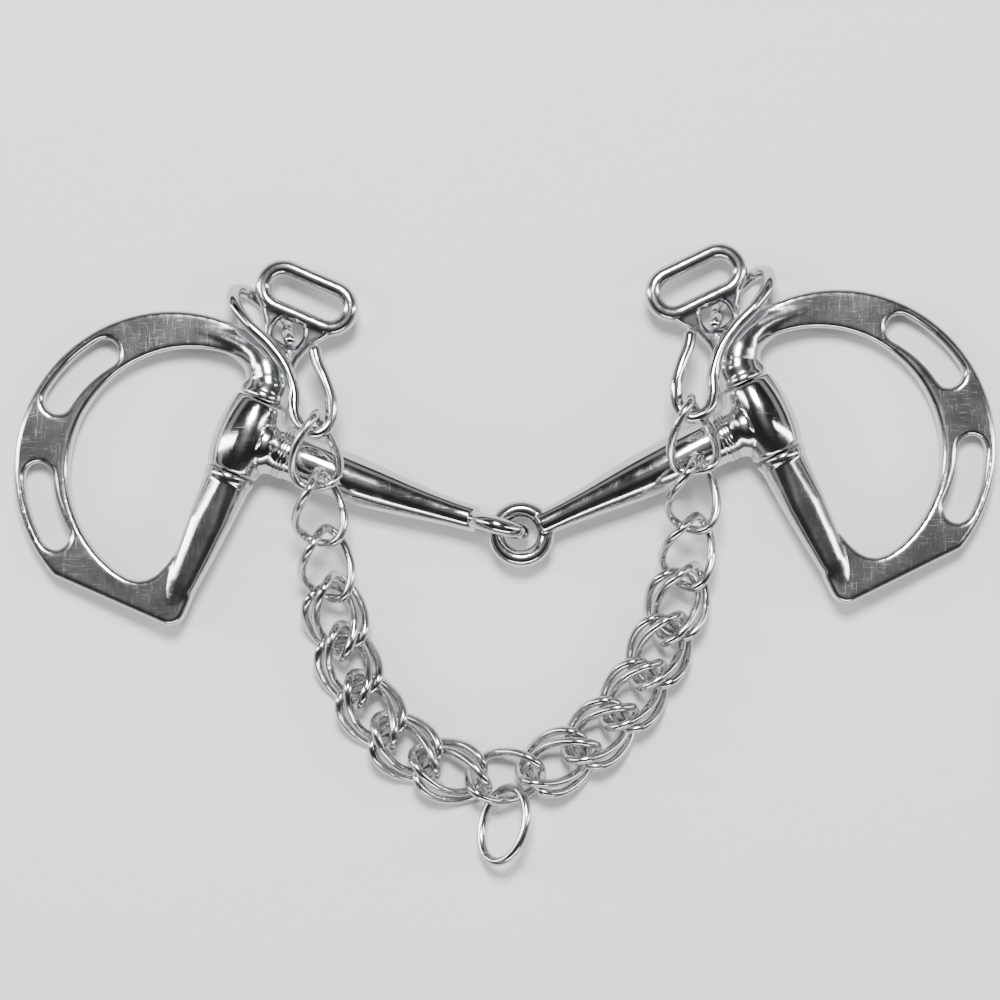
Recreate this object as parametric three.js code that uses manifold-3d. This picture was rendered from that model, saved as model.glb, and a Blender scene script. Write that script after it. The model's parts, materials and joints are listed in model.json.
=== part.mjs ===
// Curb bit of the slotted-cheek Kimblewick kind: two D cheeks that swivel on the butts of a jointed
// mouthpiece, two open curb hooks and a double-link curb chain with its fly ring.
// Millimetres, +Z up. The bit lies flat on a table at z = 0: X runs from cheek to cheek, Y points
// towards the headstall eyes. Cheeks and hooks are drawn in a cheek frame: x runs outboard from the
// swivel axis, y runs up that axis from the middle of the butt, z runs away from the table.
import * as THREE from 'three';
import { mergeVertices } from 'three/addons/utils/BufferGeometryUtils.js';
import Module from 'manifold-3d';

// ---- driving dimensions -------------------------------------------------------------------------

const GAP = 0.3; // smallest space kept between two pieces

// Mouthpiece: two arms, each a butt, a tapering bar and a ring.
const MOUTH_CENTRE = [6.2, 7.2]; // axis of the middle joint
const BUTT_HEIGHT = 8.2; // axis height of arms and swivels above the table
const BUTT_LEFT = [-64.0, 32.1];
const BUTT_RIGHT = [67.8, 36.8];
const SWIVEL_TILT_LEFT = 23.5; // lean of the left swivel axis from Y, degrees
const SWIVEL_TILT_RIGHT = 26;
const BUTT_HALF = 9.8; // half length of a butt along its swivel axis
const BUTT_MID_RADIUS = 8.2;
const BUTT_END_RADIUS = 6.7;
const ARM_RADII = [[0, 7.3], [11.6, 7.1], [12.2, 6.5], [26, 6.35], [36, 5.7], [50, 4.1], [57, 3.4], [64, 3.3]];
const RING_RADIUS = 6.3; // centreline of the rings of the middle joint
const RING_WIRE = 2.2;

// Swivel pins.
const PIN_RADIUS = 2.5;
const PIN_HALF = 14.7;
const PIN_BORE = PIN_RADIUS + GAP;
const PIN_BORE_HALF = 15;

// Cheeks.
const CHEEK_TILT = 5.4; // the D leans down until its outer edge touches the table, degrees
const PLATE = 6; // thickness of the D and of the eye
const PLATE_ROUND = 1.2; // rounding of its edges
const D_OUTER = { x: 14.4, y: -15.4, radius: 40.6 };
const D_INNER = { x: 9.2, y: -14.1, radius: 31.7 };
const D_FOOT = -52.4; // straight lower edge of the D
const SHANK_TOP_RADIUS = 6.6;
const SHANK_FOOT_RADIUS = 3.8;
const SLOT_ARC = 34.2; // the rein slots run on an arc about the centre of the outer edge
const SLOT_HALF_WIDTH = 3.7;
const SLOT_ANGLES = [[8, 36.5], [-53, -27]];
const EYE_Y = 38.6; // middle of the headstall eye
const EYE_HALF_LENGTH = 13.4;
const EYE_HALF_HEIGHT = 6.7;
const EYE_SLOT_HALF_LENGTH = 9.8;
const EYE_SLOT_HALF_HEIGHT = 3.5;
const HOOK_HOLE = [0.8, 28.6];
const HOOK_HOLE_RADIUS = 3.9;

// Curb hooks.
const HOOK_WIRE = 1.75;

// Curb chain: three single links at each end, pairs of links between, and one single link in the
// middle that carries the fly ring.
const LINK_WIRE = 1.15;
const LINK_HALF_LENGTH = 9.4; // centreline
const LINK_HALF_WIDTH = 6.3; // centreline
const LINK_TWIST = 108; // turn between the two ends of a link, degrees
const LINK_SQUARENESS = 2.9; // superellipse power of the link outline
const PAIR_SPREAD = 2.5; // sideways distance between the two links of a pair
const PAIR_STAGGER = -2.4; // how far one link of a pair sits ahead of the other
const PAIR_ROLL = -17; // each link of a pair rolls this far, opposite ways, degrees
const SINGLE_PITCH = 15.6;
const PAIR_PITCH = 13.0;
const MIDDLE_PITCH = 15.75;
const END_LINKS = 3;
const PAIRS = { right: 5, left: 5 };
const END_ROLL = 36; // the first link stands upright in the hook, and the next ones turn flat
const CHAIN_HEIGHT = 5.8;

// Fly ring, an oval.
const FLY_HALF_LENGTH = 9.7; // centreline
const FLY_HALF_WIDTH = 7.0; // centreline
const FLY_WIRE = 1.2;
const FLY_TILT = 40.5; // degrees
const FLY_YAW = -21.8; // degrees
const FLY_PLACE = [1.6, 12.2, 1.65]; // from the middle of its link, along, across and up

// ---- solids -------------------------------------------------------------------------------------

const wasm = await Module();
wasm.setup();

const radians = THREE.MathUtils.degToRad;

// A closed geometry with shared corners and no triangle of zero size, its faces turned outward.
function weld(geometry) {
  const bare = geometry.clone();
  bare.deleteAttribute('normal');
  bare.deleteAttribute('uv');
  const merged = mergeVertices(bare, 1e-4);
  const index = merged.index.array;
  const position = merged.attributes.position;
  const corners = [0, 1, 2].map(() => new THREE.Vector3());
  const kept = [];
  let volume = 0;
  for (let i = 0; i < index.length; i += 3) {
    const triangle = [index[i], index[i + 1], index[i + 2]];
    if (new Set(triangle).size < 3) continue;
    kept.push(...triangle);
    corners.forEach((corner, k) => corner.fromBufferAttribute(position, triangle[k]));
    volume += corners[0].dot(corners[1].cross(corners[2]));
  }
  if (volume < 0) kept.reverse();
  merged.setIndex(kept);
  return merged;
}

function toSolid(geometry) {
  const welded = weld(geometry);
  return new wasm.Manifold(new wasm.Mesh({
    numProp: 3,
    vertProperties: Float32Array.from(welded.attributes.position.array),
    triVerts: Uint32Array.from(welded.index.array),
  }));
}

function toGeometry(solid) {
  const mesh = solid.getMesh();
  const geometry = new THREE.BufferGeometry();
  geometry.setAttribute('position', new THREE.BufferAttribute(mesh.vertProperties, 3));
  geometry.setIndex(new THREE.BufferAttribute(mesh.triVerts, 1));
  geometry.computeVertexNormals();
  return geometry;
}

// A round bar along a curve. radii holds [distance along the curve, radius] pairs, joined by
// straight lines; the bar's ends are flat.
function bar(curve, radii, sides) {
  const length = curve.getLength();
  const profile = [new THREE.Vector2(0, radii[0][0])];
  radii.forEach(([distance, radius]) => profile.push(new THREE.Vector2(radius, distance)));
  profile.push(new THREE.Vector2(0, radii.at(-1)[0]));
  const geometry = new THREE.LatheGeometry(profile, sides);
  const frames = new Map();
  let across = new THREE.Vector3(0, 0, 1);
  profile.forEach(({ y }) => {
    const along = curve.getTangentAt(Math.min(y / length, 1));
    across = across.clone().addScaledVector(along, -across.dot(along)).normalize();
    const centre = curve.getPointAt(Math.min(y / length, 1));
    frames.set(Math.fround(y), { centre, across, other: across.clone().cross(along) });
  });
  const position = geometry.attributes.position;
  for (let i = 0; i < position.count; i += 1) {
    const { centre, across: first, other: second } = frames.get(position.getY(i));
    const point = centre.clone();
    point.addScaledVector(first, position.getX(i));
    point.addScaledVector(second, position.getZ(i));
    position.setXYZ(i, point.x, point.y, point.z);
  }
  return geometry;
}

// A wire of one radius along an open curve, with rounded ends.
function wire(curve, radius, steps, sides) {
  const length = curve.getLength();
  const radii = [[0, 0.55 * radius], [0.45 * radius, radius]];
  for (let i = 1; i < steps; i += 1) {
    radii.push([(length * i) / steps, radius]);
  }
  radii.push([length - 0.45 * radius, radius], [length, 0.55 * radius]);
  return bar(curve, radii, sides);
}

// A closed wire loop. centreline(turn) gives its middle for a turn from 0 to 2 pi.
function loop(centreline, radius, around, sides) {
  const geometry = new THREE.TorusGeometry(2, 1, sides, around);
  const { position, uv } = geometry.attributes;
  for (let i = 0; i < position.count; i += 1) {
    const turn = uv.getX(i) * 2 * Math.PI;
    const roll = uv.getY(i) * 2 * Math.PI;
    const centre = centreline(turn);
    const along = centreline(turn + 0.01).sub(centreline(turn - 0.01)).normalize();
    const outward = centre.clone().addScaledVector(along, -centre.dot(along)).normalize();
    const side = along.clone().cross(outward);
    const point = centre.clone();
    point.addScaledVector(outward, radius * Math.cos(roll));
    point.addScaledVector(side, radius * Math.sin(roll));
    position.setXYZ(i, point.x, point.y, point.z);
  }
  return geometry;
}

function cylinder(radius, halfLength, sides) {
  return new THREE.CylinderGeometry(radius, radius, 2 * halfLength, sides);
}

function plate(shape, thickness, round) {
  const geometry = new THREE.ExtrudeGeometry(shape, {
    depth: thickness - 2 * round,
    bevelEnabled: round > 0,
    bevelThickness: round,
    bevelSize: round,
    bevelOffset: -round,
    bevelSegments: 1,
  });
  return geometry.translate(0, 0, round - thickness / 2);
}

// ---- places -------------------------------------------------------------------------------------

// The frame of a cheek. side is 1 for the right cheek and -1 for the left one, whose solids are
// mirrored in x before they are placed.
function cheekFrame(butt, lean, side) {
  const flat = new THREE.Matrix4().makeRotationZ(radians(side * lean));
  const tilt = new THREE.Matrix4().makeRotationY(radians(side * CHEEK_TILT));
  const place = new THREE.Matrix4().makeTranslation(butt[0], butt[1], BUTT_HEIGHT);
  return place.multiply(flat).multiply(tilt);
}

const frames = {
  left: cheekFrame(BUTT_LEFT, SWIVEL_TILT_LEFT, -1),
  right: cheekFrame(BUTT_RIGHT, SWIVEL_TILT_RIGHT, 1),
};
const sides = { left: -1, right: 1 };

function fromCheek(name, x, y, z) {
  return new THREE.Vector3(sides[name] * x, y, z).applyMatrix4(frames[name]);
}

// ---- mouthpiece ---------------------------------------------------------------------------------

function mouthArm(name, buttXY, ringCentre, ringUpright) {
  const butt = new THREE.Vector3(buttXY[0], buttXY[1], BUTT_HEIGHT);
  const inward = fromCheek(name, -1, 0, 0).sub(butt).setZ(0).normalize();
  const control = butt.clone().addScaledVector(inward, butt.distanceTo(ringCentre) / 2);
  const toRing = ringCentre.clone().sub(control).normalize();
  const neck = ringCentre.clone().addScaledVector(toRing, 1 - RING_RADIUS);
  const axis = new THREE.QuadraticBezierCurve3(butt, control, neck);
  const length = axis.getLength();
  const radii = ARM_RADII.filter(([distance]) => distance < length - 2);
  radii.push([length, ARM_RADII.at(-1)[1]]);
  const ring = new THREE.TorusGeometry(RING_RADIUS, RING_WIRE, 10, 24);
  if (ringUpright) ring.rotateX(Math.PI / 2);
  ring.rotateZ(Math.atan2(toRing.y, toRing.x)).translate(...ringCentre);
  const buttCurve = [[0, -BUTT_HALF], [BUTT_END_RADIUS, -BUTT_HALF]];
  for (let i = 1; i < 6; i += 1) {
    const y = -BUTT_HALF + (i * BUTT_HALF) / 3;
    const bulge = 1 - (y / BUTT_HALF) ** 2;
    buttCurve.push([BUTT_END_RADIUS + bulge * (BUTT_MID_RADIUS - BUTT_END_RADIUS), y]);
  }
  buttCurve.push([BUTT_END_RADIUS, BUTT_HALF], [0, BUTT_HALF]);
  const barrel = new THREE.LatheGeometry(buttCurve.map(([x, y]) => new THREE.Vector2(x, y)), 24);
  barrel.applyMatrix4(frames[name]);
  const bore = cylinder(PIN_BORE, BUTT_HALF + 1, 16).applyMatrix4(frames[name]);
  const solid = toSolid(barrel).add(toSolid(bar(axis, radii, 18))).add(toSolid(ring));
  return toGeometry(solid.subtract(toSolid(bore)));
}

const mouthCentre = new THREE.Vector3(MOUTH_CENTRE[0], MOUTH_CENTRE[1], BUTT_HEIGHT);
const leftRingCentre = new THREE.Vector3(BUTT_LEFT[0], BUTT_LEFT[1], BUTT_HEIGHT)
  .sub(mouthCentre).setLength(RING_RADIUS).add(mouthCentre);

// ---- cheeks -------------------------------------------------------------------------------------

// Points on an arc, both ends included. Angles are in degrees.
function arc(x, y, radius, from, to, steps) {
  const points = [];
  for (let i = 0; i <= steps; i += 1) {
    const angle = radians(from + ((to - from) * i) / steps);
    points.push(new THREE.Vector2(x + radius * Math.cos(angle), y + radius * Math.sin(angle)));
  }
  return points;
}

function toPoints(pairs) {
  return pairs.map(([x, y]) => new THREE.Vector2(x, y));
}

// A rein slot: a curved stadium between two angles about the centre of the outer edge of the D.
function slotOutline([from, to]) {
  const { x, y } = D_OUTER;
  const end = (angle, start) => {
    const [middle] = arc(x, y, SLOT_ARC, angle, angle, 1);
    return arc(middle.x, middle.y, SLOT_HALF_WIDTH, start, start + 180, 6).slice(1, -1);
  };
  return [
    ...arc(x, y, SLOT_ARC + SLOT_HALF_WIDTH, from, to, 5),
    ...end(to, to),
    ...arc(x, y, SLOT_ARC - SLOT_HALF_WIDTH, to, from, 5),
    ...end(from, from + 180),
  ];
}

// The D without its shank: the wide curved web and its foot.
function dShape() {
  const foot = THREE.MathUtils.radToDeg(Math.asin((D_FOOT - D_OUTER.y) / D_OUTER.radius));
  const shape = new THREE.Shape([
    ...toPoints([[-SHANK_FOOT_RADIUS, D_FOOT + 9], [-SHANK_FOOT_RADIUS, D_FOOT + 4]]),
    ...arc(0.2, D_FOOT + 4, 4, 200, 270, 4),
    ...arc(D_OUTER.x, D_OUTER.y, D_OUTER.radius, foot, 106, 30),
    new THREE.Vector2(2.5, 17.5),
    ...arc(D_INNER.x, D_INNER.y, D_INNER.radius, 90, -98, 30),
    new THREE.Vector2(3.2, D_FOOT + 9),
  ]);
  shape.holes = SLOT_ANGLES.map((angles) => new THREE.Path(slotOutline(angles)));
  return shape;
}

// A stadium along x, run anticlockwise.
function stadium(y, halfLength, halfHeight, steps) {
  const end = halfLength - halfHeight;
  return [...arc(end, y, halfHeight, -90, 90, steps), ...arc(-end, y, halfHeight, 90, 270, steps)];
}

// The headstall eye with the web that holds the hook hole and runs down into the neck.
function eyeShape() {
  const end = EYE_HALF_LENGTH - EYE_HALF_HEIGHT;
  const shape = new THREE.Shape([
    ...toPoints([[6.4, 18], [6.4, 25.2], [7.2, 27.8], [9.4, 30.2], [11.8, 32.6], [13, 35.2]]),
    ...arc(end, EYE_Y, EYE_HALF_HEIGHT, -10, 90, 6),
    ...arc(-end, EYE_Y, EYE_HALF_HEIGHT, 90, 190, 6),
    ...toPoints([[-12.8, 35], [-11, 32.2], [-8, 29.4], [-5.8, 26.6], [-4.6, 23]]),
    ...toPoints([[-4.4, 18], [-4.8, 11.5], [1, 11.5]]),
  ]);
  shape.holes = [
    new THREE.Path(stadium(EYE_Y, EYE_SLOT_HALF_LENGTH, EYE_SLOT_HALF_HEIGHT, 8)),
    new THREE.Path(arc(HOOK_HOLE[0], HOOK_HOLE[1], HOOK_HOLE_RADIUS, 0, 340, 17)),
  ];
  return shape;
}

// The tapered bar from the butt down to the foot of the D.
function shank() {
  const profile = [
    [0, D_FOOT + 5.5],
    [SHANK_FOOT_RADIUS - 0.6, D_FOOT + 5.5],
    [SHANK_FOOT_RADIUS, D_FOOT + 8],
    [SHANK_TOP_RADIUS - 0.5, -13],
    [SHANK_TOP_RADIUS, -12],
    [SHANK_TOP_RADIUS, -BUTT_HALF - GAP],
    [0, -BUTT_HALF - GAP],
  ];
  return new THREE.LatheGeometry(profile.map(([x, y]) => new THREE.Vector2(x, y)), 18);
}

// The bent neck from the butt up and out into the top of the D.
function neck() {
  const bend = new THREE.CatmullRomCurve3([
    new THREE.Vector3(0.2, BUTT_HALF + GAP, 0),
    new THREE.Vector3(0.2, 13, 0),
    new THREE.Vector3(1.5, 17.4, 0),
    new THREE.Vector3(5.6, 20.5, 0),
    new THREE.Vector3(12, 21.3, 0),
    new THREE.Vector3(21, 20.4, 0),
  ]);
  const radii = [[0, 6.4], [1.4, 6.4], [2.6, 6.1], [5, 6], [7.5, 5.4], [10, 4.6], [13, 3.9], [19, 3.5], [25, 2.6]];
  return bar(bend, radii, 18);
}

function cheek(name) {
  const parts = [neck(), plate(dShape(), PLATE, PLATE_ROUND), plate(eyeShape(), PLATE, PLATE_ROUND)];
  let solid = toSolid(shank());
  parts.forEach((part) => {
    solid = solid.add(toSolid(part));
  });
  solid = solid.subtract(toSolid(cylinder(PIN_BORE, PIN_BORE_HALF, 16)));
  solid = solid.subtract(toSolid(cylinder(BUTT_END_RADIUS + 3, BUTT_HALF + GAP, 16)));
  const geometry = toGeometry(solid);
  if (sides[name] < 0) geometry.scale(-1, 1, 1);
  return weld(geometry).applyMatrix4(frames[name]);
}

function pin(name) {
  return cylinder(PIN_RADIUS, PIN_HALF, 16).applyMatrix4(frames[name]);
}

// ---- curb hooks ---------------------------------------------------------------------------------

// The wire starts as a stub in front of the hook hole, goes back through it, round the outboard edge
// of the web, down in front of the neck to the bight that carries the chain, and up to its open tip.
const HOOK_ROUTE = [
  [-2.2, 26.2, 7.2], [0.2, 28.4, 4.2], [1.6, 29.4, -1.5], [4.6, 30.8, -5.0], [10, 32.8, -5.6],
  [15.2, 34.0, -4.2], [17.6, 33.0, 0.4], [16.0, 30.0, 4.8], [10.4, 26.6, 6.6], [3.4, 24.0, 6.6],
  [-2.6, 20.6, 6.6], [-7.4, 15.6, 6.8], [-9.8, 11.0, 7.6], [-13.0, 7.9, 8.5], [-17.6, 8.1, 8.6],
  [-19.2, 12.0, 8.0], [-17.4, 17.0, 8.0], [-13.6, 21.4, 7.8], [-9.8, 25.0, 7.0], [-7.4, 28.4, 6.4],
];
const HOOK_BIGHT = [-16.2, 11.1, 9.9]; // where the first joint of the chain sits

function hook(name) {
  const points = HOOK_ROUTE.map((point) => fromCheek(name, ...point));
  return wire(new THREE.CatmullRomCurve3(points, false, 'centripetal'), HOOK_WIRE, 44, 8);
}

// ---- curb chain ---------------------------------------------------------------------------------

// The route of the chain between the two hooks, from right to left.
const ROUTE_MIDDLE = [
  [50, 23, 20.4], [49.4, 9, 14.6], [47.6, -5, 8.4],
  [43.8, -18, CHAIN_HEIGHT], [37.6, -31, CHAIN_HEIGHT], [28, -43, CHAIN_HEIGHT], [15.4, -52, CHAIN_HEIGHT],
  [0.8, -56, CHAIN_HEIGHT],
  [-14, -53.6, CHAIN_HEIGHT], [-26.8, -45.4, CHAIN_HEIGHT], [-35.8, -32.8, CHAIN_HEIGHT],
  [-40.6, -18.6, CHAIN_HEIGHT],
  [-43.2, -5, 9.2], [-44.8, 8, 15.6], [-45.8, 18.8, 21.0],
];

// Every station of the chain from right to left: its name, pitch and roll, and whether it holds two
// links side by side.
function chainStations() {
  const stations = [];
  const roll = (number) => (END_ROLL * (END_LINKS + 1 - number)) / END_LINKS;
  for (let i = 1; i <= END_LINKS; i += 1) {
    stations.push({ name: `chain_right_link_${i}`, pitch: SINGLE_PITCH, roll: -roll(i) });
  }
  for (let i = 1; i <= PAIRS.right; i += 1) {
    stations.push({ name: `chain_right_pair_${i}`, pitch: PAIR_PITCH, roll: 0, double: true });
  }
  stations.push({ name: 'chain_fly_link', pitch: MIDDLE_PITCH, roll: 0 });
  for (let i = PAIRS.left; i >= 1; i -= 1) {
    stations.push({ name: `chain_left_pair_${i}`, pitch: PAIR_PITCH, roll: 0, double: true });
  }
  for (let i = END_LINKS; i >= 1; i -= 1) {
    stations.push({ name: `chain_left_link_${i}`, pitch: SINGLE_PITCH, roll: roll(i) });
  }
  return stations;
}

// Walks the route in steps of one pitch. One factor on all the pitches takes up the slack, so that
// the last step ends at the left hook.
function chainJoints(stations) {
  const bights = ['right', 'left'].map((name) => fromCheek(name, ...HOOK_BIGHT));
  const middle = ROUTE_MIDDLE.map((point) => new THREE.Vector3(...point));
  const route = new THREE.CatmullRomCurve3([bights[0], ...middle, bights[1]], false, 'centripetal');
  const samples = route.getSpacedPoints(6000);
  const walk = (factor) => {
    const joints = [samples[0]];
    let next = 0;
    stations.forEach(({ pitch }) => {
      while (next < samples.length - 1 && samples[next].distanceTo(joints.at(-1)) < factor * pitch) next += 1;
      joints.push(samples[next]);
    });
    return joints;
  };
  let low = 0.9;
  let high = 1.1;
  while (high - low > 1e-7) {
    const factor = (low + high) / 2;
    if (walk(factor).at(-1) === samples.at(-1)) high = factor;
    else low = factor;
  }
  return { joints: walk(high), factor: high };
}

function linkCentreline(turn) {
  const power = 2 / LINK_SQUARENESS;
  const along = Math.cos(turn);
  const across = Math.sin(turn);
  const u = LINK_HALF_LENGTH * Math.sign(along) * Math.abs(along) ** power;
  const v = LINK_HALF_WIDTH * Math.sign(across) * Math.abs(across) ** power;
  const twist = (radians(LINK_TWIST) / 2) * (u / LINK_HALF_LENGTH);
  return new THREE.Vector3(u, v * Math.cos(twist), v * Math.sin(twist));
}

// The frame of a station: x along the chain, y across it, z up, from the middle of two joints.
function stationFrame(from, to) {
  const along = to.clone().sub(from).normalize();
  const across = new THREE.Vector3(0, 0, 1).cross(along).normalize();
  const middle = from.clone().add(to).multiplyScalar(0.5);
  return new THREE.Matrix4().makeBasis(along, across, along.clone().cross(across)).setPosition(middle);
}

function link(frame, ahead, offset, roll) {
  const geometry = loop(linkCentreline, LINK_WIRE, 18, 8);
  geometry.rotateX(radians(roll)).translate(ahead, offset, 0);
  return geometry.applyMatrix4(frame);
}

function flyRing(frame) {
  const oval = (turn) => new THREE.Vector3(FLY_HALF_WIDTH * Math.cos(turn), FLY_HALF_LENGTH * Math.sin(turn), 0);
  const ring = loop(oval, FLY_WIRE, 22, 8);
  ring.rotateY(radians(FLY_TILT)).rotateZ(radians(FLY_YAW)).translate(...FLY_PLACE);
  return ring.applyMatrix4(frame);
}

// ---- assembly -----------------------------------------------------------------------------------

const group = new THREE.Group();
const pivots = {};

function addPiece(name, geometry, colour, roughness) {
  const material = new THREE.MeshStandardMaterial({ color: colour, roughness, metalness: 1 });
  const mesh = new THREE.Mesh(weld(geometry), material);
  mesh.name = name;
  group.add(mesh);
}

addPiece('mouth_arm_right', mouthArm('right', BUTT_RIGHT, mouthCentre, false), 0xb4b7ba, 0.2);
addPiece('mouth_arm_left', mouthArm('left', BUTT_LEFT, leftRingCentre, true), 0xb4b7ba, 0.2);
['right', 'left'].forEach((name) => {
  addPiece(`cheek_${name}`, cheek(name), 0xa9adb2, 0.22);
  addPiece(`cheek_pin_${name}`, pin(name), 0x8d9196, 0.35);
  addPiece(`curb_hook_${name}`, hook(name), 0xb0b3b7, 0.25);
  pivots[`swivel_${name}`] = fromCheek(name, 0, 0, 0).toArray();
  pivots[`swivel_axis_${name}`] = fromCheek(name, 0, 1, 0).sub(fromCheek(name, 0, 0, 0)).toArray();
  pivots[`hook_${name}`] = fromCheek(name, HOOK_HOLE[0], HOOK_HOLE[1], 0).toArray();
});
pivots.mouth = mouthCentre.toArray();

const stations = chainStations();
const { joints, factor } = chainJoints(stations);
stations.forEach(({ name, roll, double }, i) => {
  const frame = stationFrame(joints[i], joints[i + 1]);
  if (double) {
    addPiece(`${name}_a`, link(frame, PAIR_STAGGER / 2, PAIR_SPREAD / 2, PAIR_ROLL), 0xa4a7ab, 0.28);
    addPiece(`${name}_b`, link(frame, -PAIR_STAGGER / 2, -PAIR_SPREAD / 2, -PAIR_ROLL), 0xa4a7ab, 0.28);
  } else {
    addPiece(name, link(frame, 0, 0, roll), 0xa4a7ab, 0.28);
  }
  if (name === 'chain_fly_link') {
    addPiece('fly_ring', flyRing(frame), 0xa9acb0, 0.25);
    pivots.fly_ring = new THREE.Vector3().setFromMatrixPosition(frame).toArray();
  }
  pivots[name] = joints[i].toArray();
});
pivots.chain_end = joints.at(-1).toArray();
pivots.chain_slack_factor = factor;

// The origin is the middle of the footprint, on the table.
group.updateMatrixWorld(true);
const bounds = new THREE.Box3().setFromObject(group);
const centre = bounds.getCenter(new THREE.Vector3());
group.position.set(-centre.x, -centre.y, -bounds.min.z);
group.userData = { pivots, shift: group.position.toArray() };
group.updateMatrixWorld(true);

export default group;
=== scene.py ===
import math
import bpy
import numpy as np
from mathutils import Matrix, Vector
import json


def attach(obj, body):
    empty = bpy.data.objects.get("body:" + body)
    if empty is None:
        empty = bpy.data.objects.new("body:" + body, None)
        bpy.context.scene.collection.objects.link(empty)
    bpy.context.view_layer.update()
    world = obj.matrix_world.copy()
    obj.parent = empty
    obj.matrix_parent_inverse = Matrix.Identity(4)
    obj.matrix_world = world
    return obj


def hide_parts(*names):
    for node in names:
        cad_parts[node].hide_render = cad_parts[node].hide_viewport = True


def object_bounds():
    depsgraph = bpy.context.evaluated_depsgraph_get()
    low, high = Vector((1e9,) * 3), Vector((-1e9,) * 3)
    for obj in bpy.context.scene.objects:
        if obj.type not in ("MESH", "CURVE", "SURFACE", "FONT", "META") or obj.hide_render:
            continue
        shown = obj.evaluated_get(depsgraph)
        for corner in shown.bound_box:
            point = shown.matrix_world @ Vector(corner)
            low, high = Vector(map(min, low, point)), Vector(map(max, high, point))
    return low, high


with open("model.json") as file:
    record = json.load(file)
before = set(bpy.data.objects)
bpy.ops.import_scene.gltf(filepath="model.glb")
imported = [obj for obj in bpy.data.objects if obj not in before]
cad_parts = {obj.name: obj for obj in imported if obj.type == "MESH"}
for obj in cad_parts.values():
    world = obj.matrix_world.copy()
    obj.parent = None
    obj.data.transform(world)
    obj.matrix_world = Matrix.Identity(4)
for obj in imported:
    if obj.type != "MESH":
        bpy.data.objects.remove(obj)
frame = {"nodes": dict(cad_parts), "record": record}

cad_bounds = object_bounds()
record = frame["record"]
joints = {j["name"]: j for j in record["behaviour"]["joints"]}
body_of_node = {}
for body_name, members in record["behaviour"]["bodies"].items():
    for member in members:
        body_of_node[member] = body_name

MM = 0.001
VOXEL = 0.28 * MM
UP = np.array([0.0, 0.0, 1.0])

# ---- dimensions, in millimetres, the same as the solids' but for HOOK_WIRE ------------------------

CHEEK_TILT = math.radians(5.4)
BUTT_HALF = 9.8
BUTT_END, BUTT_MID = 6.7, 8.2
GAP = 0.3
BORE, BORE_HALF = 2.8, 15.0
PIN_RADIUS, PIN_HALF = 2.5, 14.7
RING_RADIUS, RING_WIRE = 6.3, 2.2
D_OUTER = (14.4, -15.4, 40.6)
D_INNER = (9.2, -14.1, 31.7)
D_FOOT = -52.4
SLOT_ARC, SLOT_HALF = 34.2, 3.7
SLOT_ANGLES = ((8, 36.5), (-53, -27))
EYE_Y = 38.6
HOOK_HOLE = (0.8, 28.6, 3.9)
HOOK_ROUTE = [
    (-2.2, 26.2, 7.2), (0.2, 28.4, 4.2), (1.6, 29.4, -1.5), (4.6, 30.8, -5.0), (10, 32.8, -5.6),
    (15.2, 34.0, -4.2), (17.6, 33.0, 0.4), (16.0, 30.0, 4.8), (10.4, 26.6, 6.6), (3.4, 24.0, 6.6),
    (-2.6, 20.6, 6.6), (-7.4, 15.6, 6.8), (-9.8, 11.0, 7.6), (-13.0, 7.9, 8.5), (-17.6, 8.1, 8.6),
    (-19.2, 12.0, 8.0), (-17.4, 17.0, 8.0), (-13.6, 21.4, 7.8), (-9.8, 25.0, 7.0), (-7.4, 28.4, 6.4),
]
HOOK_WIRE = 1.65  # 0.1 thinner than the solid, which keeps the round wire clear of the web
LINK_WIRE, LINK_HALF_LENGTH, LINK_HALF_WIDTH = 1.15, 9.4, 6.3
LINK_TWIST, LINK_POWER = math.radians(108), 2 / 2.9
PAIR_SPREAD, PAIR_STAGGER, PAIR_ROLL = 2.5, -2.4, -17
END_ROLL, END_LINKS = 36, 3
FLY_HALF_LENGTH, FLY_HALF_WIDTH, FLY_WIRE = 9.7, 7.0, 1.2
FLY_TILT, FLY_YAW, FLY_PLACE = 40.5, -21.8, (1.6, 12.2, 1.65)


# ---- meshes ---------------------------------------------------------------------------------------

def unit(v):
    return v / np.linalg.norm(v)


def mesh_object(name, points, faces):
    """A mesh from points in millimetres."""
    data = bpy.data.meshes.new(name)
    data.from_pydata((np.asarray(points) * MM).tolist(), [], faces)
    data.update()
    obj = bpy.data.objects.new(name, data)
    bpy.context.scene.collection.objects.link(obj)
    for polygon in data.polygons:
        polygon.use_smooth = True
    return obj


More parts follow.
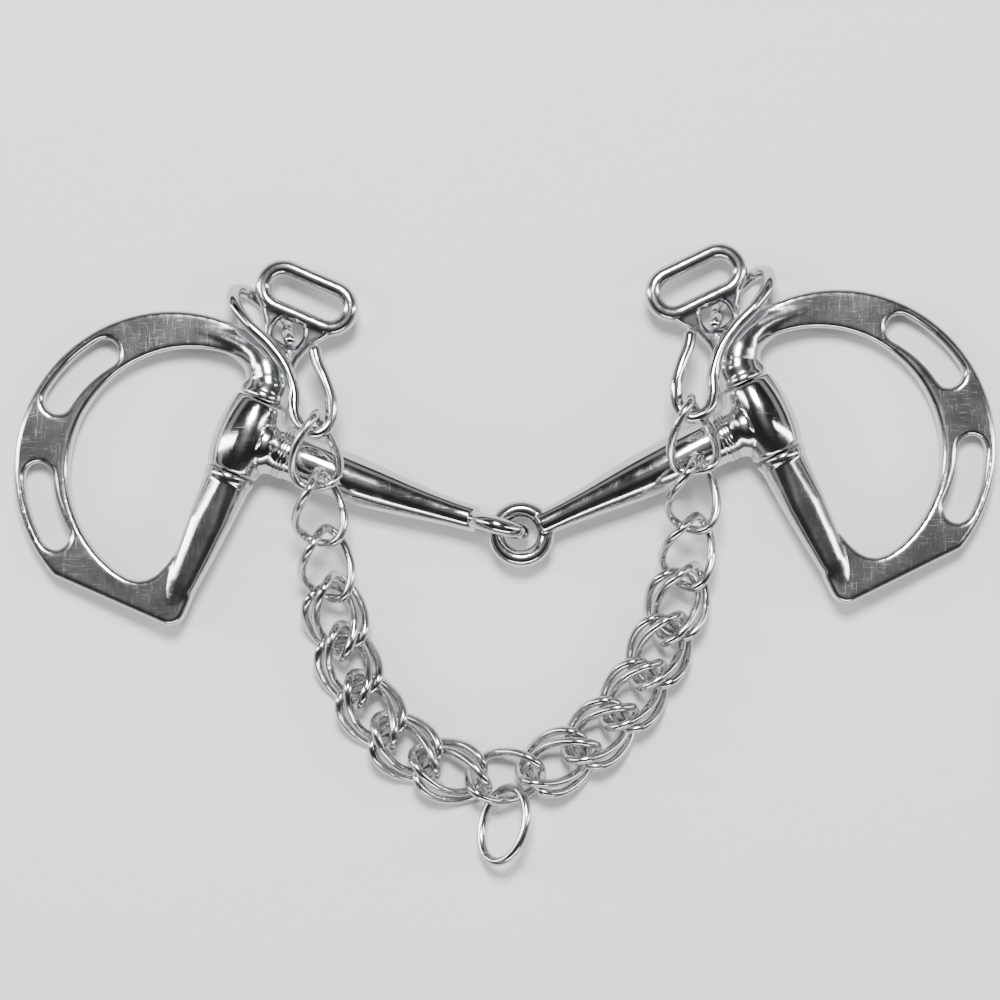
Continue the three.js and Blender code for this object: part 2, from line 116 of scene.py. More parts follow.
def centripetal(points, samples):
    """The curve through the points that three.js calls centripetal, evenly spaced along its length."""
    p = np.array(points, float)
    before = 2 * p[0] - p[1]
    after = 2 * p[-1] - p[-2]
    p = np.vstack([before, p, after])
    out = []
    for i in range(1, len(p) - 2):
        p0, p1, p2, p3 = p[i - 1:i + 3]
        t0 = 0.0
        t1 = t0 + max(np.linalg.norm(p1 - p0), 1e-6) ** 0.5
        t2 = t1 + max(np.linalg.norm(p2 - p1), 1e-6) ** 0.5
        t3 = t2 + max(np.linalg.norm(p3 - p2), 1e-6) ** 0.5
        for t in np.linspace(t1, t2, 24, endpoint=False):
            a1 = (t1 - t) / (t1 - t0) * p0 + (t - t0) / (t1 - t0) * p1
            a2 = (t2 - t) / (t2 - t1) * p1 + (t - t1) / (t2 - t1) * p2
            a3 = (t3 - t) / (t3 - t2) * p2 + (t - t2) / (t3 - t2) * p3
            b1 = (t2 - t) / (t2 - t0) * a1 + (t - t0) / (t2 - t0) * a2
            b2 = (t3 - t) / (t3 - t1) * a2 + (t - t1) / (t3 - t1) * a3
            out.append((t2 - t) / (t2 - t1) * b1 + (t - t1) / (t2 - t1) * b2)
    out.append(p[-2])
    return even(np.array(out), samples)


def even(points, samples, closed=False):
    if closed:
        points = np.vstack([points, points[:1]])
    steps = np.linalg.norm(np.diff(points, axis=0), axis=1)
    walked = np.concatenate([[0], np.cumsum(steps)])
    wanted = np.linspace(0, walked[-1], samples, endpoint=not closed)
    return np.stack([np.interp(wanted, walked, points[:, k]) for k in range(3)], axis=1)


def sweep(points, radii, sides, closed=False, start=None, shape=None):
    """A tube along points. radii holds one radius or one (across, other) pair per point.
    shape, if given, is the power of the superellipse of its section. Returns points and faces."""
    points = np.asarray(points, float)
    n = len(points)
    if closed:
        along = np.roll(points, -1, 0) - np.roll(points, 1, 0)
    else:
        along = np.gradient(points, axis=0)
    along /= np.linalg.norm(along, axis=1)[:, None]
    across = start if start is not None else UP
    if abs(np.dot(unit(np.asarray(across, float)), along[0])) > 0.95:
        across = np.array([1.0, 0.0, 0.0])
    turn = np.linspace(0, 2 * np.pi, sides, endpoint=False)
    c, s = np.cos(turn), np.sin(turn)
    if shape:
        c = np.sign(c) * np.abs(c) ** (2 / shape)
        s = np.sign(s) * np.abs(s) ** (2 / shape)
    rings, frames = [], []
    for i in range(n):
        across = across - np.dot(across, along[i]) * along[i]
        across = unit(across)
        frames.append((across, np.cross(along[i], across)))
    if closed:
        first, last = frames[0], frames[-1]
        carried = unit(last[0] - np.dot(last[0], along[0]) * along[0])
        drift = math.atan2(np.dot(np.cross(first[0], carried), along[0]), np.dot(first[0], carried))
    else:
        drift = 0.0
    for i in range(n):
        a, b = frames[i]
        fix = -drift * i / n
        a, b = a * math.cos(fix) + b * math.sin(fix), -a * math.sin(fix) + b * math.cos(fix)
        r = radii[i]
        ra, rb = (r, r) if np.isscalar(r) else r
        rings.append(points[i] + np.outer(c * ra, a) + np.outer(s * rb, b))
    verts = np.vstack(rings)
    faces = []
    for i in range(n if closed else n - 1):
        j = (i + 1) % n
        for k in range(sides):
            m = (k + 1) % sides
            faces.append((i * sides + k, i * sides + m, j * sides + m, j * sides + k))
    if not closed:
        faces.append(tuple(reversed(range(sides))))
        faces.append(tuple((n - 1) * sides + k for k in range(sides)))
    return verts, faces


def lathe(profile, sides, place, power=None):
    """A body turned about the local y axis. profile holds (radius, y) pairs and both ends lie on the
    axis. place turns local millimetres into row millimetres. power may be a function of y that gives
    the superellipse power of the section."""
    turn = np.linspace(0, 2 * np.pi, sides, endpoint=False)
    verts, faces, rows = [], [], []
    for r, y in profile:
        if r < 1e-6:
            rows.append([len(verts)])
            verts.append((0.0, y, 0.0))
            continue
        c, s = np.cos(turn), np.sin(turn)
        if power:
            p = power(y)
            c = np.sign(c) * np.abs(c) ** (2 / p)
            s = np.sign(s) * np.abs(s) ** (2 / p)
        rows.append(list(range(len(verts), len(verts) + sides)))
        verts += [(r * a, y, r * b) for a, b in zip(c, s)]
    for lower, upper in zip(rows, rows[1:]):
        for k in range(sides):
            m = (k + 1) % sides
            if len(lower) == 1:
                faces.append((lower[0], upper[k], upper[m]))
            elif len(upper) == 1:
                faces.append((lower[k], upper[0], lower[m]))
            else:
                faces.append((lower[k], upper[k], upper[m], lower[m]))
    return place(np.array(verts)), faces


def rounded_plate(outlines, thickness, edge):
    """A flat plate in the local xy plane with rounded edges. The first outline is its rim and the
    others are holes. Returns points in local millimetres and faces."""
    curve = bpy.data.curves.new("plate", "CURVE")
    curve.dimensions = "2D"
    curve.fill_mode = "BOTH"
    curve.extrude = thickness / 2 - edge
    curve.bevel_depth = edge
    curve.bevel_resolution = 5
    curve.offset = -edge
    for outline in outlines:
        spline = curve.splines.new("POLY")
        spline.points.add(len(outline) - 1)
        for point, (x, y) in zip(spline.points, outline):
            point.co = (x, y, 0, 1)
        spline.use_cyclic_u = True
    holder = bpy.data.objects.new("plate", curve)
    bpy.context.scene.collection.objects.link(holder)
    bpy.context.view_layer.update()
    graph = bpy.context.evaluated_depsgraph_get()
    data = bpy.data.meshes.new_from_object(holder.evaluated_get(graph))
    points = np.array([v.co for v in data.vertices])
    faces = [tuple(p.vertices) for p in data.polygons]
    bpy.data.objects.remove(holder)
    bpy.data.curves.remove(curve)
    bpy.data.meshes.remove(data)
    return points, faces


def fuse(name, parts, smoothing):
    """Closed shapes melted into one casting: its inner corners come out as small fillets."""
    verts, faces, offset = [], [], 0
    for points, polygons in parts:
        verts.append(points)
        faces += [tuple(i + offset for i in f) for f in polygons]
        offset += len(points)
    rough = mesh_object(name + "_rough", np.vstack(verts), faces)
    remesh = rough.modifiers.new("remesh", "REMESH")
    remesh.mode = "VOXEL"
    remesh.voxel_size = VOXEL * 1
    remesh.use_smooth_shade = True
    smooth = rough.modifiers.new("smooth", "SMOOTH")
    smooth.factor = 0.5
    smooth.iterations = smoothing
    bpy.context.view_layer.update()
    graph = bpy.context.evaluated_depsgraph_get()
    data = bpy.data.meshes.new_from_object(rough.evaluated_get(graph))
    data.name = name
    for polygon in data.polygons:
        polygon.use_smooth = True
    obj = bpy.data.objects.new(name, data)
    bpy.context.scene.collection.objects.link(obj)
    bpy.data.objects.remove(rough)
    return obj


# ---- places ---------------------------------------------------------------------------------------

SIDE = {"left": -1, "right": 1}


def cheek_place(name):
    """Turns points of a cheek frame, x outboard, y up the swivel axis, z up, into the row frame."""
    swivel = joints[f"cheek_{name}_swivel"]
    origin = np.array(swivel["pos_m"]) / MM
    y = unit(np.array(swivel["axis"], float))
    level = np.cross(y, UP)
    side = SIDE[name]
    x = side * level * math.cos(CHEEK_TILT) - UP * math.sin(CHEEK_TILT)
    z = side * level * math.sin(CHEEK_TILT) + UP * math.cos(CHEEK_TILT)
    basis = np.stack([x, y, z])
    return lambda points: np.asarray(points, float) @ basis + origin


def arc(x, y, r, start, end, steps):
    turn = np.radians(np.linspace(start, end, steps + 1))
    return [(x + r * math.cos(t), y + r * math.sin(t)) for t in turn]


def slot_outline(start, end):
    x, y, _ = D_OUTER

    def cap(angle, first):
        (mx, my), _ = arc(x, y, SLOT_ARC, angle, angle + 1, 1)
        return arc(mx, my, SLOT_HALF, first, first + 180, 16)[1:-1]

    rim = arc(x, y, SLOT_ARC + SLOT_HALF, start, end, 20) + cap(end, end)
    return rim + arc(x, y, SLOT_ARC - SLOT_HALF, end, start, 20) + cap(start, start + 180)


def d_outlines():
    foot = math.degrees(math.asin((D_FOOT - D_OUTER[1]) / D_OUTER[2]))
    rim = [(-3.8, D_FOOT + 9), (-3.8, D_FOOT + 4)]
    rim += arc(0.2, D_FOOT + 4, 4, 200, 270, 10)
    rim += arc(*D_OUTER, foot, 106, 110)
    rim += [(2.5, 17.5)]
    rim += arc(*D_INNER, 90, -76, 90)
    # the rounded corner between the foot of the D and the shank
    rim += [(13.6, -45.3), (10.8, -44.9), (8.6, -43.6), (7.0, -41.6)]
    rim += [(5.8, -38.8), (4.9, -35.4), (4.2, -31.6), (3.2, -30.0)]
    return [rim] + [slot_outline(*angles) for angles in SLOT_ANGLES]


def web_outlines():
    """The web between the neck and the eye, with its hook hole."""
    rim = [(6.0, 17.6), (6.2, 25.2), (7.2, 28.2), (9.4, 31), (10.6, 33.4), (9.6, 35.4)]
    rim += [(4, 34.6), (-4, 34.6), (-9.2, 35.4), (-10.2, 33), (-8, 29.8), (-5.8, 26.8), (-4.6, 23)]
    rim += [(-4.4, 18), (-4.6, 13), (1, 12.4)]
    x, y, r = HOOK_HOLE
    hole = arc(x, y, r, 200, -20, 26) + [(x + r * 0.86, y - r * 0.62), (x, y - r * 0.8), (x - r * 0.86, y - r * 0.62)]
    return [rim, hole]


def stadium_path(half_length, half_height, samples):
    end = half_length - half_height
    points = arc(end, EYE_Y, half_height, -90, 90, 40) + arc(-end, EYE_Y, half_height, 90, 270, 40)
    return even(np.array([(x, y, 0.0) for x, y in points]), samples, closed=True)


def cheek_mesh(name):
    place = cheek_place(name)
    parts = []
    shoulder = -BUTT_HALF - GAP
    shank = [
        (0, -BORE_HALF), (BORE, -BORE_HALF), (BORE, shoulder), (6.15, shoulder), (6.5, shoulder - 0.12),
        (6.62, shoulder - 0.45), (6.62, -11.7), (6.5, -12.2), (6.1, -12.7), (6.1, -13.4),
        (5.4, -24), (4.7, -33), (3.9, -41),
        (3.35, D_FOOT + 8), (3.0, D_FOOT + 5), (2.4, D_FOOT + 3), (0, D_FOOT + 2.6),
    ]
    squareness = lambda y: 2 + 1.1 * min(max((-13.5 - y) / 6, 0), 1)
    parts.append(lathe(shank, 64, place, squareness))
    neck = [(0, BORE_HALF), (BORE, BORE_HALF), (BORE, -shoulder), (6.0, -shoulder), (6.35, -shoulder + 0.15)]
    neck += [(6.45, -shoulder + 0.5), (6.45, 11.6), (6.3, 12.1), (6.0, 12.6)]
    neck += [(6.0, 15), (5.6, 16.4), (4.6, 17.6), (0, 18.2)]
    parts.append(lathe(neck, 64, place))
    bend = [(0.2, 13.4, 0), (1.2, 16.6, 0), (4.6, 19.7, 0), (9.5, 21.1, 0)]
    bend += [(15, 21.3, 0), (22, 20.2, 0), (28, 18.2, 0)]
    bend = centripetal(bend, 60)
    walk, marks = np.linspace(0, 30, 60), [0, 3, 6, 9, 12, 18, 24, 30]
    radii = list(zip(np.interp(walk, marks, [5.4, 5.8, 5.5, 4.7, 4.0, 3.4, 3.05, 2.8]),
                     np.interp(walk, marks, [5.4, 5.8, 5.5, 4.9, 4.4, 4.0, 3.8, 3.6])))
    points, faces = sweep(bend, radii, 40)
    parts.append((place(points), faces))
    points, faces = rounded_plate(d_outlines(), 6.0, 1.3)
    parts.append((place(points), faces))
    points, faces = rounded_plate(web_outlines(), 4.2, 1.2)
    parts.append((place(points), faces))
    rail, faces = sweep(stadium_path(11.8, 5.2, 200), [(2.5, 2.1)] * 200, 36, closed=True, shape=2.5)
    parts.append((place(rail), faces))
    ridge = centripetal([(1.4, 17, 1.2), (1.2, 20, 1.9), (0.9, 23, 1.9), (0.8, 24.2, 1.2)], 24)
    points, faces = sweep(ridge, [(1.2, 2.6)] * 24, 24)
    parts.append((place(points), faces))
    return fuse(f"cheek_casting_{name}", parts, 18)


def arm_curve(name, ring_centre):
    place = cheek_place(name)
    butt = place([[0, 0, 0]])[0]
    inward = place([[-1, 0, 0]])[0] - butt
    inward[2] = 0
    inward = unit(inward)
    control = butt + inward * np.linalg.norm(ring_centre - butt) / 2
    to_ring = unit(ring_centre - control)
    neck = ring_centre + to_ring * (1 - RING_RADIUS)
    t = np.linspace(0, 1, 400)[:, None]
    points = (1 - t) ** 2 * butt + 2 * t * (1 - t) * control + t ** 2 * neck
    return points, to_ring


def arm_mesh(name, ring_centre, upright):
    place = cheek_place(name)
    curve, to_ring = arm_curve(name, ring_centre)
    steps = np.linalg.norm(np.diff(curve, axis=0), axis=1)
    walked = np.concatenate([[0], np.cumsum(steps)])
    length = walked[-1]
    distance = np.linspace(4.0, length, 220)
    path = np.stack([np.interp(distance, walked, curve[:, k]) for k in range(3)], axis=1)
    known = [4, 6.4, 8.6, 10.6, 11.3, 12.2, 26, 36, 50, 57, 64]
    radius = [7.9, 7.9, 6.8, 6.7, 6.65, 6.45, 6.35, 5.7, 4.1, 3.5, 3.3]
    radii = np.interp(distance, known, radius)
    radii = np.convolve(np.pad(radii, 3, mode="edge"), np.ones(7) / 7, mode="valid")
    parts = [sweep(path, radii, 56)]
    y = np.linspace(-BUTT_HALF, BUTT_HALF, 25)
    bulge = BUTT_END + (1 - (y / BUTT_HALF) ** 2) * (BUTT_MID - BUTT_END)
    barrel = [(BORE, -BUTT_HALF), (BUTT_END - 0.5, -BUTT_HALF), (BUTT_END - 0.12, -BUTT_HALF + 0.12)]
    barrel += [(r, v) for r, v in zip(bulge[1:-1], y[1:-1])]
    barrel += [(BUTT_END - 0.12, BUTT_HALF - 0.12), (BUTT_END - 0.5, BUTT_HALF)]
    barrel += [(BORE, BUTT_HALF), (BORE, -BUTT_HALF)]
    parts.append(lathe(barrel, 72, place))
    side = np.cross(to_ring, UP)
    other = UP if upright else side
    turn = np.linspace(0, 2 * np.pi, 120, endpoint=False)
    ring = ring_centre + RING_RADIUS * (np.outer(np.cos(turn), to_ring) + np.outer(np.sin(turn), other))
    parts.append(sweep(ring, [RING_WIRE] * 120, 32, closed=True, start=np.cross(to_ring, other)))
    arm = fuse(f"mouth_bar_{name}", parts, 8)
    return arm, path, distance


def wire_piece(name, points, radius, sides):
    """A wire with rounded ends, each one radius long."""
    points = np.asarray(points)
    n = len(points)
    step = np.linalg.norm(points[1] - points[0])
    edge = np.minimum(np.arange(n), np.arange(n)[::-1]) * step
    inside = np.clip(1 - (1 - np.clip(edge / radius, 0, 1)) ** 2, 0, 1)
    radii = radius * np.maximum(np.sqrt(inside), 0.25)
    verts, faces = sweep(points, radii, sides)
    return mesh_object(name, verts, faces)


def station_basis(start, end):
    along = unit(end - start)
    across = unit(np.cross(UP, along))
    return np.stack([along, across, np.cross(along, across)]), (start + end) / 2


def link_points(roll, samples=120):
    turn = np.linspace(0, 2 * np.pi, 1200, endpoint=False)
    c, s = np.cos(turn), np.sin(turn)
    u = LINK_HALF_LENGTH * np.sign(c) * np.abs(c) ** LINK_POWER
    v = LINK_HALF_WIDTH * np.sign(s) * np.abs(s) ** LINK_POWER
    twist = LINK_TWIST / 2 * u / LINK_HALF_LENGTH + math.radians(roll)
    points = np.stack([u, v * np.cos(twist), v * np.sin(twist)], axis=1)
    return even(points, samples, closed=True)


def weld_swell(points, radius, at, amount):
    """Wire radii with the small swelling of the butt weld near one point of the loop."""
    off = np.linalg.norm(points - at, axis=1)
    return radius * (1 + amount * np.exp(-(off / (radius * 0.75)) ** 2))


def link_piece(name, basis, middle, ahead, offset, roll, seed):
    points = link_points(roll)
    rng = np.random.default_rng(seed)
    side = 1 if rng.random() > 0.5 else -1
    seam = points[np.argmin(np.abs(points[:, 0] - rng.uniform(-1, 1)) + (np.sign(points[:, 1]) != side) * 50)]
    radii = weld_swell(points, LINK_WIRE, seam, rng.uniform(0.05, 0.09))
    verts, faces = sweep(points, radii, 22, closed=True)
    verts = (verts + np.array([ahead, offset, 0])) @ basis + middle
    return mesh_object(name, verts, faces)


# ---- materials ------------------------------------------------------------------------------------

def new_node(tree, kind, **values):
    node = tree.nodes.new(kind)
    for key, value in values.items():
        if key in node.inputs:
            node.inputs[key].default_value = value
        else:
            setattr(node, key, value)
    return node


def steel(name, tint, rough, scratch, pit, seed):
    """Stainless steel. tint is its colour, rough the lowest and highest roughness, scratch the depth
    of its polishing lines and pit the depth of its cast unevenness, both in metres."""
    material = bpy.data.materials.new(name)
    material.use_nodes = True
    tree = material.node_tree
    tree.nodes.clear()
    link = tree.links.new
    out = new_node(tree, "ShaderNodeOutputMaterial")
    bsdf = new_node(tree, "ShaderNodeBsdfPrincipled", Metallic=1.0)
    link(bsdf.outputs["BSDF"], out.inputs["Surface"])
    where = new_node(tree, "ShaderNodeTexCoord")

    def ranged(source, low, high, to_low=0.0, to_high=1.0):
        """The source with low..high stretched over to_low..to_high."""
        node = new_node(tree, "ShaderNodeMapRange")
        for key, value in (("From Min", low), ("From Max", high), ("To Min", to_low), ("To Max", to_high)):
            node.inputs[key].default_value = value
        link(source, node.inputs["Value"])
        return node.outputs["Result"]

    def added(source, amount, base, **values):
        """The base value plus the source times amount."""
        node = new_node(tree, "ShaderNodeMath", operation="MULTIPLY_ADD", **values)
        node.inputs[1].default_value = amount
        link(source, node.inputs[0])
        link(base, node.inputs[2])
        return node.outputs[0]

    def relief(height, distance, under=None, **values):
        """A bump this many metres deep, laid on the one under it."""
        node = new_node(tree, "ShaderNodeBump", Strength=1.0, Distance=distance, **values)
        link(height, node.inputs["Height"])
        if under:
            link(under, node.inputs["Normal"])
        return node.outputs["Normal"]

    shifted = new_node(tree, "ShaderNodeVectorMath", operation="ADD")
    shifted.inputs[1].default_value = (seed * 0.37, seed * 0.11, seed * 0.23)
    link(where.outputs["Object"], shifted.inputs[0])

    # slow changes of polish over the piece, a few millimetres across
    broad = new_node(tree, "ShaderNodeTexNoise", Scale=140.0, Detail=4.0, Roughness=0.55)
    link(shifted.outputs[0], broad.inputs["Vector"])
    # fine grain of the polish
    grain = new_node(tree, "ShaderNodeTexNoise", Scale=2600.0, Detail=3.0, Roughness=0.6)
    link(shifted.outputs[0], grain.inputs["Vector"])

    # polishing lines in two directions: noise drawn out along one axis
    lines = []
    for turn, stretch in ((0.35, (5200.0, 190.0, 900.0)), (-0.5, (260.0, 4300.0, 900.0))):
        mapping = new_node(tree, "ShaderNodeMapping")
        mapping.inputs["Rotation"].default_value = (0.1, 0.2, turn)
        mapping.inputs["Scale"].default_value = stretch
        link(shifted.outputs[0], mapping.inputs["Vector"])
        streak = new_node(tree, "ShaderNodeTexNoise", Scale=1.0, Detail=2.0, Roughness=0.5)
        link(mapping.outputs["Vector"], streak.inputs["Vector"])
        lines.append(ranged(streak.outputs["Fac"], 0.60, 0.78))
    both = new_node(tree, "ShaderNodeMath", operation="ADD", use_clamp=True)
    link(lines[0], both.inputs[0])
    link(lines[1], both.inputs[1])

    # a few separate wear scratches: the rare peaks of noise drawn out much further
    worn = new_node(tree, "ShaderNodeMapping")
    worn.inputs["Rotation"].default_value = (0.0, 0.1, 1.1)
    worn.inputs["Scale"].default_value = (6800.0, 95.0, 700.0)
    link(shifted.outputs[0], worn.inputs["Vector"])
    rare = new_node(tree, "ShaderNodeTexNoise", Scale=1.0, Detail=0.0)
    link(worn.outputs["Vector"], rare.inputs["Vector"])
    wear = new_node(tree, "ShaderNodeMath", operation="MULTIPLY")
    link(ranged(rare.outputs["Fac"], 0.76, 0.82), wear.inputs[0])
    link(ranged(broad.outputs["Fac"], 0.48, 0.60), wear.inputs[1])

    # hollows are duller, where the polishing wheel and the cloth don't reach, and their colour is darkened as painted
    # shade
    hollow = new_node(tree, "ShaderNodeAmbientOcclusion", samples=6, only_local=True)
    hollow.inputs["Distance"].default_value = 0.0035
    dullness_and_shade = ranged(hollow.outputs["AO"], 0.35, 0.9, 1.0, 0.0)

    # roughness: rougher on the polishing lines, in the scratches and in the hollows
    roughness = ranged(broad.outputs["Fac"], 0.3, 0.72, *rough)
    roughness = added(both.outputs[0], 0.10, roughness)
    roughness = added(wear.outputs[0], 0.10, roughness)
    roughness = added(dullness_and_shade, 0.14, roughness, use_clamp=True)
    link(roughness, bsdf.inputs["Roughness"])

    # colour: a random tone over the piece, then painted shade that darkens it in the hollows
    ramp = new_node(tree, "ShaderNodeMix", data_type="RGBA")
    ramp.inputs[6].default_value = (*[c * 0.93 for c in tint], 1)
    ramp.inputs[7].default_value = (*tint, 1)
    link(broad.outputs["Fac"], ramp.inputs[0])
    # painted shade: the colour is multiplied towards dark grey where ambient occlusion finds a hollow
    painted_shade = new_node(tree, "ShaderNodeMix", data_type="RGBA", blend_type="MULTIPLY")
    painted_shade.inputs[7].default_value = (0.42, 0.41, 0.40, 1)
    link(dullness_and_shade, painted_shade.inputs[0])
    link(ramp.outputs[2], painted_shade.inputs[6])
    link(painted_shade.outputs[2], bsdf.inputs["Base Color"])

    # relief: hand-polished waviness, cast unevenness, polishing lines, grain, then wear
    slow = new_node(tree, "ShaderNodeTexNoise", Scale=42.0, Detail=1.0, Roughness=0.4)
    link(shifted.outputs[0], slow.inputs["Vector"])
    normal = relief(slow.outputs["Fac"], pit * 26)
    normal = relief(broad.outputs["Fac"], pit, normal)
    normal = relief(both.outputs[0], scratch, normal)
    normal = relief(grain.outputs["Fac"], scratch * 0.5, normal)
    normal = relief(wear.outputs[0], scratch, normal, invert=True)
    link(normal, bsdf.inputs["Normal"])
    return material


MOUTH_STEEL = steel("mouth_steel", (0.56, 0.56, 0.57), (0.07, 0.17), 1.6e-6, 14e-6, 1)
CHEEK_STEEL = steel("cheek_steel", (0.52, 0.53, 0.545), (0.135, 0.175), 2.0e-6, 24e-6, 2)
PIN_STEEL = steel("pin_steel", (0.45, 0.45, 0.455), (0.25, 0.40), 2.0e-6, 5e-6, 3)
HOOK_STEEL = steel("hook_steel", (0.55, 0.555, 0.565), (0.08, 0.20), 2.0e-6, 16e-6, 4)
CHAIN_STEEL = steel("chain_steel", (0.50, 0.505, 0.515), (0.11, 0.26), 2.4e-6, 14e-6, 5)
RING_STEEL = steel("ring_steel", (0.53, 0.535, 0.545), (0.09, 0.22), 2.0e-6, 14e-6, 6)


def place_piece(obj, node, material):
    """Puts a finished piece on the CAD body of the node that it stands for."""
    obj.data.materials.clear()
    obj.data.materials.append(material)
    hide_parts(node)
    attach(obj, body_of_node[node])


# ---- the bit --------------------------------------------------------------------------------------

mouth_centre = np.array(joints["mouth_joint"]["pos_m"]) / MM
left_butt = np.array(joints["cheek_left_swivel"]["pos_m"]) / MM
left_ring = mouth_centre + unit(left_butt - mouth_centre) * RING_RADIUS

for side_name, ring_centre, upright in (("right", mouth_centre, False), ("left", left_ring, True)):
    arm, path, distance = arm_mesh(side_name, ring_centre, upright)
    place_piece(arm, f"mouth_arm_{side_name}", MOUTH_STEEL)

    # the turned collar next to the butt, with its two fine grooves
    collar_from, collar_to = 8.9, 12.6
    along = np.linspace(collar_from, collar_to, 90)
    centre = np.stack([np.interp(along, distance, path[:, k]) for k in range(3)], axis=1)
    profile = np.interp(along, [8.9, 9.2, 9.6, 11.6, 12.1, 12.6], [6.3, 6.74, 6.84, 6.82, 6.7, 6.2])
    for groove in (10.0, 10.9):
        profile -= 0.22 * np.exp(-((along - groove) / 0.13) ** 2)
    verts, faces = sweep(centre, profile, 96)
    collar = mesh_object(f"mouth_collar_{side_name}", verts, faces)
    collar.data.materials.append(MOUTH_STEEL)
    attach(collar, body_of_node[f"mouth_arm_{side_name}"])

    cheek = cheek_mesh(side_name)
    place_piece(cheek, f"cheek_{side_name}", CHEEK_STEEL)

    place = cheek_place(side_name)
    pin_profile = [(0, -PIN_HALF), (PIN_RADIUS - 0.3, -PIN_HALF), (PIN_RADIUS, -PIN_HALF + 0.3)]
    pin_profile += [(PIN_RADIUS, PIN_HALF - 0.3), (PIN_RADIUS - 0.3, PIN_HALF), (0, PIN_HALF)]
    verts, faces = lathe(pin_profile, 48, place)
    pin = mesh_object(f"swivel_pin_{side_name}", verts, faces)
    place_piece(pin, f"cheek_pin_{side_name}", PIN_STEEL)

    hook_line = centripetal(place(HOOK_ROUTE), 260)
    hook = wire_piece(f"curb_hook_wire_{side_name}", hook_line, HOOK_WIRE, 28)
    place_piece(hook, f"curb_hook_{side_name}", HOOK_STEEL)


# ---- the curb chain -------------------------------------------------------------------------------

def node_centre(name):
    """The centroid: a twisted link lies evenly about it, but not inside its bounding box."""
    return np.array([v.co for v in frame["nodes"][name].data.vertices]).mean(0) / MM


hinge_names = [j["name"] for j in record["behaviour"]["joints"] if j["name"].startswith("chain_")]
stations = [name[:-len("_hinge")] for name in hinge_names]
starts = {name[:-len("_hinge")]: np.array(joints[name]["pos_m"]) / MM for name in hinge_names}
last = stations[-1]
chain_end = starts[last]
starts[last] = 2 * node_centre(last) - chain_end
order = stations + ["end"]
starts["end"] = chain_end

for index, station in enumerate(stations):
    basis, middle = station_basis(starts[station], starts[order[index + 1]])
    if "pair" in station:
        for letter, sign in (("a", 1), ("b", -1)):
            node = f"{station}_{letter}"
            piece = link_piece(f"{node}_wire", basis, middle, sign * PAIR_STAGGER / 2, sign * PAIR_SPREAD / 2,
                               sign * PAIR_ROLL, 100 + index * 2 + (sign > 0))
            place_piece(piece, node, CHAIN_STEEL)
        continue
    roll = 0.0
    if station != "chain_fly_link":
        number = int(station[-1])
        roll = END_ROLL * (END_LINKS + 1 - number) / END_LINKS
        if "right" in station:
            roll = -roll
    piece = link_piece(f"{station}_wire", basis, middle, 0, 0, roll, 100 + index * 2)
    place_piece(piece, station, CHAIN_STEEL)
    if station == "chain_fly_link":
        turn = np.linspace(0, 2 * np.pi, 600, endpoint=False)
        oval = np.stack([FLY_HALF_WIDTH * np.cos(turn), FLY_HALF_LENGTH * np.sin(turn), np.zeros(600)], axis=1)
        oval = even(oval, 140, closed=True)
        radii = weld_swell(oval, FLY_WIRE, oval[30], 0.07)
        verts, faces = sweep(oval, radii, 26, closed=True)
        turned = Matrix.Rotation(math.radians(FLY_YAW), 3, "Z") @ Matrix.Rotation(math.radians(FLY_TILT), 3, "Y")
        verts = verts @ np.array(turned).T + np.array(FLY_PLACE)
        ring = mesh_object("fly_ring_wire", verts @ basis + middle, faces)
        place_piece(ring, "fly_ring", RING_STEEL)


# ---- floor, light and camera ----------------------------------------------------------------------

def plain(name, colour, rough=0.6):
    material = bpy.data.materials.new(name)
    material.use_nodes = True
    bsdf = material.node_tree.nodes["Principled BSDF"]
    bsdf.inputs["Base Color"].default_value = (*colour, 1)
    bsdf.inputs["Roughness"].default_value = rough
    bsdf.inputs["Specular IOR Level"].default_value = 0.2
    return material


def card(name, corners, material):
    data = bpy.data.meshes.new(name)
    data.from_pydata(corners, [], [tuple(range(len(corners)))])
    data.materials.append(material)
    obj = bpy.data.objects.new(name, data)
    bpy.context.scene.collection.objects.link(obj)
    return obj


FLOOR = 3
floor_corners = [(-FLOOR, -FLOOR, 0), (FLOOR, -FLOOR, 0), (FLOOR, FLOOR, 0), (-FLOOR, FLOOR, 0)]
card("floor", floor_corners, plain("floor_white", (0.64, 0.64, 0.64)))

low, high = cad_bounds
middle_x, middle_y = (low[0] + high[0]) / 2, (low[1] + high[1]) / 2

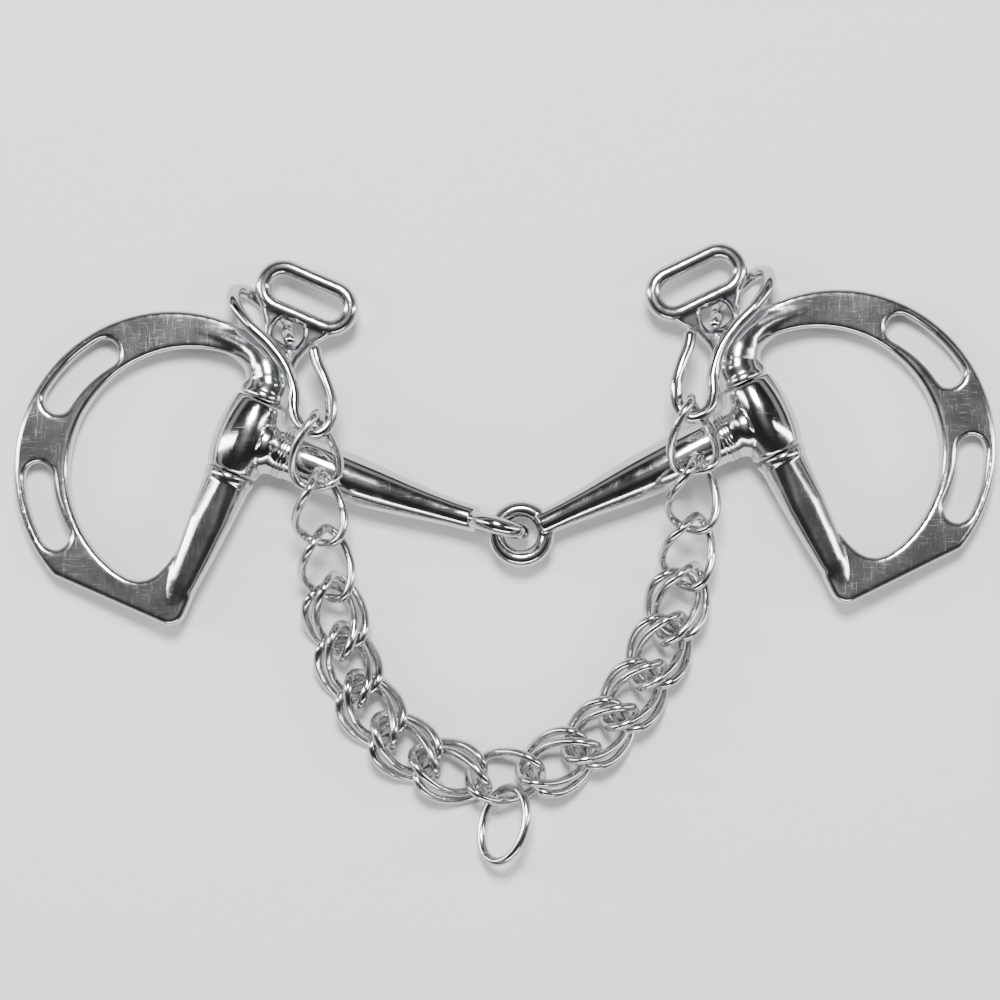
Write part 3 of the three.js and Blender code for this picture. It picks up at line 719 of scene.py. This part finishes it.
world = bpy.data.worlds.new("studio")
bpy.context.scene.world = world
world.use_nodes = True
sky = world.node_tree
ray = sky.nodes.new("ShaderNodeTexCoord")
height = sky.nodes.new("ShaderNodeSeparateXYZ")
bands = sky.nodes.new("ShaderNodeValToRGB")
sky.links.new(ray.outputs["Generated"], height.inputs[0])
sky.links.new(height.outputs["Z"], bands.inputs["Fac"])
sky.links.new(bands.outputs["Color"], sky.nodes["Background"].inputs["Color"])
sky.nodes["Background"].inputs["Strength"].default_value = 1.0
# a dark skirt at the horizon, a bright band above it, a dark studio and a soft ceiling overhead
steps = [
    (0.0, 0.05), (0.20, 0.08), (0.34, 0.55), (0.46, 0.42), (0.56, 0.03), (0.92, 0.03), (0.975, 0.09), (1.0, 0.28),
]
bands.color_ramp.elements[0].position = steps[0][0]
bands.color_ramp.elements[1].position = steps[-1][0]
for position, _ in steps[1:-1]:
    bands.color_ramp.elements.new(position)
for element, (_, value) in zip(bands.color_ramp.elements, steps):
    element.color = (value, value * 1.005, value * 1.015, 1)


def lamp(name, place, aim, size, power):
    data = bpy.data.lights.new(name, "AREA")
    data.shape = "RECTANGLE"
    data.size, data.size_y = size
    data.energy = power
    obj = bpy.data.objects.new(name, data)
    obj.location = place
    obj.rotation_euler = (Vector(aim) - Vector(place)).to_track_quat("-Z", "Y").to_euler()
    bpy.context.scene.collection.objects.link(obj)
    return obj


lamp("top", (-0.02, 0.60, 1.45), (0, 0, 0), (0.36, 0.36), 50)
lamp("left", (-1.2, 0.25, 0.75), (0, 0, 0), (0.22, 1.4), 17)
lamp("right", (1.2, 0.1, 0.8), (0, 0, 0), (0.16, 1.4), 12)
lamp("front", (0.1, -1.3, 0.8), (0, 0, 0), (1.4, 0.18), 12)

CAMERA_HEIGHT = 1.2
VIEW_WIDTH = 0.2575  # metres across the picture at the floor

camera_data = bpy.data.cameras.new("camera")
camera_data.dof.use_dof = False
camera_data.sensor_width = 36
camera_data.lens = camera_data.sensor_width * CAMERA_HEIGHT / VIEW_WIDTH
camera_data.clip_start = 0.01
camera = bpy.data.objects.new("camera", camera_data)
camera.location = (middle_x - 0.0013, middle_y + 0.0142, CAMERA_HEIGHT)
camera.rotation_euler = (0, 0, 0)
bpy.context.scene.collection.objects.link(camera)
bpy.context.scene.camera = camera
